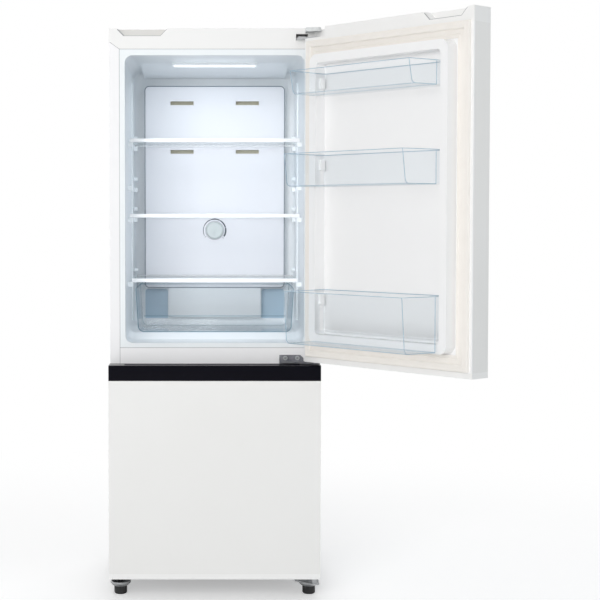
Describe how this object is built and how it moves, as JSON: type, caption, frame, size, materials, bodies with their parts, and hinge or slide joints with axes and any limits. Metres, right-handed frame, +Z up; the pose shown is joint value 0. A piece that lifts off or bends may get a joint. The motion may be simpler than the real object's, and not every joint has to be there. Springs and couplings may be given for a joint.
{
  "type": "bottom freezer refrigerator",
  "caption": "Upright refrigerator with a fridge compartment over a freezer, hinged doors, glass shelves, clear door bins, a crisper and freezer drawers.",
  "frame": {"origin": "on the floor, below the middle of the cabinet's front face", "axes": "+X to the right seen from the front, +Y to the back, +Z up"},
  "size_m": [0.9171, 0.964, 1.495],
  "materials": {
    "white_steel": "white powder coat, satin",
    "white_trim": "white moulded plastic, satin",
    "white_liner": "white vacuum-formed plastic, semi-gloss",
    "duct_white": "white moulded plastic, semi-gloss",
    "dial_grey": "light grey moulded plastic",
    "lamp_white": "diffusing white plastic",
    "shelf_glass": "clear tempered glass",
    "shelf_trim": "white moulded plastic",
    "clear_plastic": "clear moulded plastic, slightly blue",
    "seal": "off-white magnetic gasket",
    "black_gloss": "glossy black",
    "black_plastic": "matt black plastic",
    "black_rubber": "matt black rubber",
    "black_steel": "black enamel",
    "hinge_grey": "grey moulded plastic",
    "zinc_steel": "zinc plated",
    "foam": "rigid foam, sealed inside",
    "copper": "copper",
    "cooler_aluminium": "plain aluminium",
    "drawer_plastic": "pale moulded plastic"
  },
  "bodies": {
    "cabinet": {"side_panel_left": "white_steel", "side_panel_right": "white_steel", "top_panel": "white_trim", "top_trim": "white_trim", "back_panel": "white_steel", "base_pan": "zinc_steel", "mid_beam": "white_steel", "machine_cover": "white_steel", "fridge_liner": "white_liner", "freezer_liner": "white_liner", "cabinet_foam": "foam", "duct_cover": "duct_white", "duct_foam": "foam", "lamp_lens": "lamp_white", "crisper_cover_glass": "shelf_glass", "crisper_cover_trim": "shelf_trim", "evaporator_cover": "white_liner", "evaporator": "cooler_aluminium", "fan_motor": "black_plastic", "compressor": "black_steel", "compressor_grommets": "black_rubber", "condenser": "black_steel", "filter_drier": "copper", "drip_tray": "black_plastic", "cord_gland": "black_plastic", "top_hinge": "zinc_steel", "top_hinge_cover": "hinge_grey", "middle_hinge": "zinc_steel", "bottom_hinge": "zinc_steel", "hinge_screws": "zinc_steel", "base_brackets": "zinc_steel"},
    "fridge_door": {"fridge_door_skin": "white_steel", "fridge_door_foam": "foam", "fridge_door_liner": "white_liner", "fridge_door_caps": "white_trim", "fridge_door_gasket": "seal"},
    "freezer_door": {"freezer_door_skin": "white_steel", "freezer_door_foam": "foam", "freezer_door_liner": "white_liner", "freezer_handle_cap": "black_gloss", "freezer_door_cap": "white_trim", "freezer_door_gasket": "seal"},
    "top_bin": {"door_bin_top": "clear_plastic"},
    "middle_bin": {"door_bin_middle": "clear_plastic"},
    "bottom_bin": {"door_bin_bottom": "clear_plastic"},
    "upper_shelf": {"shelf_upper_glass": "shelf_glass", "shelf_upper_trim": "shelf_trim"},
    "lower_shelf": {"shelf_lower_glass": "shelf_glass", "shelf_lower_trim": "shelf_trim"},
    "crisper": {"crisper_drawer": "clear_plastic"},
    "dial": {"thermostat_dial": "dial_grey"},
    "fan": {"fan_blade": "black_plastic"},
    "top_drawer": {"freezer_drawer_top": "drawer_plastic"},
    "middle_drawer": {"freezer_drawer_middle": "drawer_plastic"},
    "bottom_drawer": {"freezer_drawer_bottom": "drawer_plastic"},
    "left_foot": {"front_foot_left": "black_plastic"},
    "right_foot": {"front_foot_right": "black_plastic"},
    "left_roller": {"rear_roller_left": "black_plastic"},
    "right_roller": {"rear_roller_right": "black_plastic"}
  },
  "joints": [
    {"name": "fridge_door_hinge", "type": "hinge", "parent": "cabinet", "child": "fridge_door", "pos_m": [0.261, -0.033, 1], "axis": [0, 0, 1], "range_deg": [-131, 0]},
    {"name": "freezer_door_hinge", "type": "hinge", "parent": "cabinet", "child": "freezer_door", "pos_m": [0.261, -0.033, 0.34], "axis": [0, 0, 1], "range_deg": [0, 130]},
    {"name": "top_bin_lift", "type": "slide", "parent": "fridge_door", "child": "top_bin", "axis": [0, 0, 1], "range_m": [0, 0.02]},
    {"name": "middle_bin_lift", "type": "slide", "parent": "fridge_door", "child": "middle_bin", "axis": [0, 0, 1], "range_m": [0, 0.06]},
    {"name": "bottom_bin_lift", "type": "slide", "parent": "fridge_door", "child": "bottom_bin", "axis": [0, 0, 1], "range_m": [0, 0.06]},
    {"name": "upper_shelf_slide", "type": "slide", "parent": "cabinet", "child": "upper_shelf", "axis": [0, -1, 0], "range_m": [0, 0.14]},
    {"name": "lower_shelf_slide", "type": "slide", "parent": "cabinet", "child": "lower_shelf", "axis": [0, -1, 0], "range_m": [0, 0.14]},
    {"name": "crisper_slide", "type": "slide", "parent": "cabinet", "child": "crisper", "axis": [0, -1, 0], "range_m": [0, 0.2]},
    {"name": "dial_turn", "type": "hinge", "parent": "cabinet", "child": "dial", "pos_m": [0, 0.4, 0.965], "axis": [0, 1, 0], "range_deg": [-150, 90]},
    {"name": "fan_spin", "type": "hinge", "parent": "cabinet", "child": "fan", "pos_m": [0, 0.38, 0.52], "axis": [0, 1, 0], "continuous": true},
    {"name": "top_drawer_slide", "type": "slide", "parent": "cabinet", "child": "top_drawer", "axis": [0, -1, 0], "range_m": [0, 0.2]},
    {"name": "middle_drawer_slide", "type": "slide", "parent": "cabinet", "child": "middle_drawer", "axis": [0, -1, 0], "range_m": [0, 0.2]},
    {"name": "bottom_drawer_slide", "type": "slide", "parent": "cabinet", "child": "bottom_drawer", "axis": [0, -1, 0], "range_m": [0, 0.2]},
    {"name": "left_foot_turn", "type": "hinge", "parent": "cabinet", "child": "left_foot", "pos_m": [-0.251, 0.03, 0.02], "axis": [0, 0, 1], "continuous": true},
    {"name": "right_foot_turn", "type": "hinge", "parent": "cabinet", "child": "right_foot", "pos_m": [0.251, 0.03, 0.02], "axis": [0, 0, 1], "continuous": true},
    {"name": "left_roller_spin", "type": "hinge", "parent": "cabinet", "child": "left_roller", "pos_m": [-0.232, 0.436, 0.017], "axis": [1, 0, 0], "continuous": true},
    {"name": "right_roller_spin", "type": "hinge", "parent": "cabinet", "child": "right_roller", "pos_m": [0.232, 0.436, 0.017], "axis": [1, 0, 0], "continuous": true}
  ],
  "couplings": [
    {"joint": "top_drawer_slide", "follows": "freezer_door_hinge", "m_per_rad": 0.08},
    {"joint": "middle_drawer_slide", "follows": "freezer_door_hinge", "m_per_rad": 0.08},
    {"joint": "bottom_drawer_slide", "follows": "freezer_door_hinge", "m_per_rad": 0.08}
  ]
}
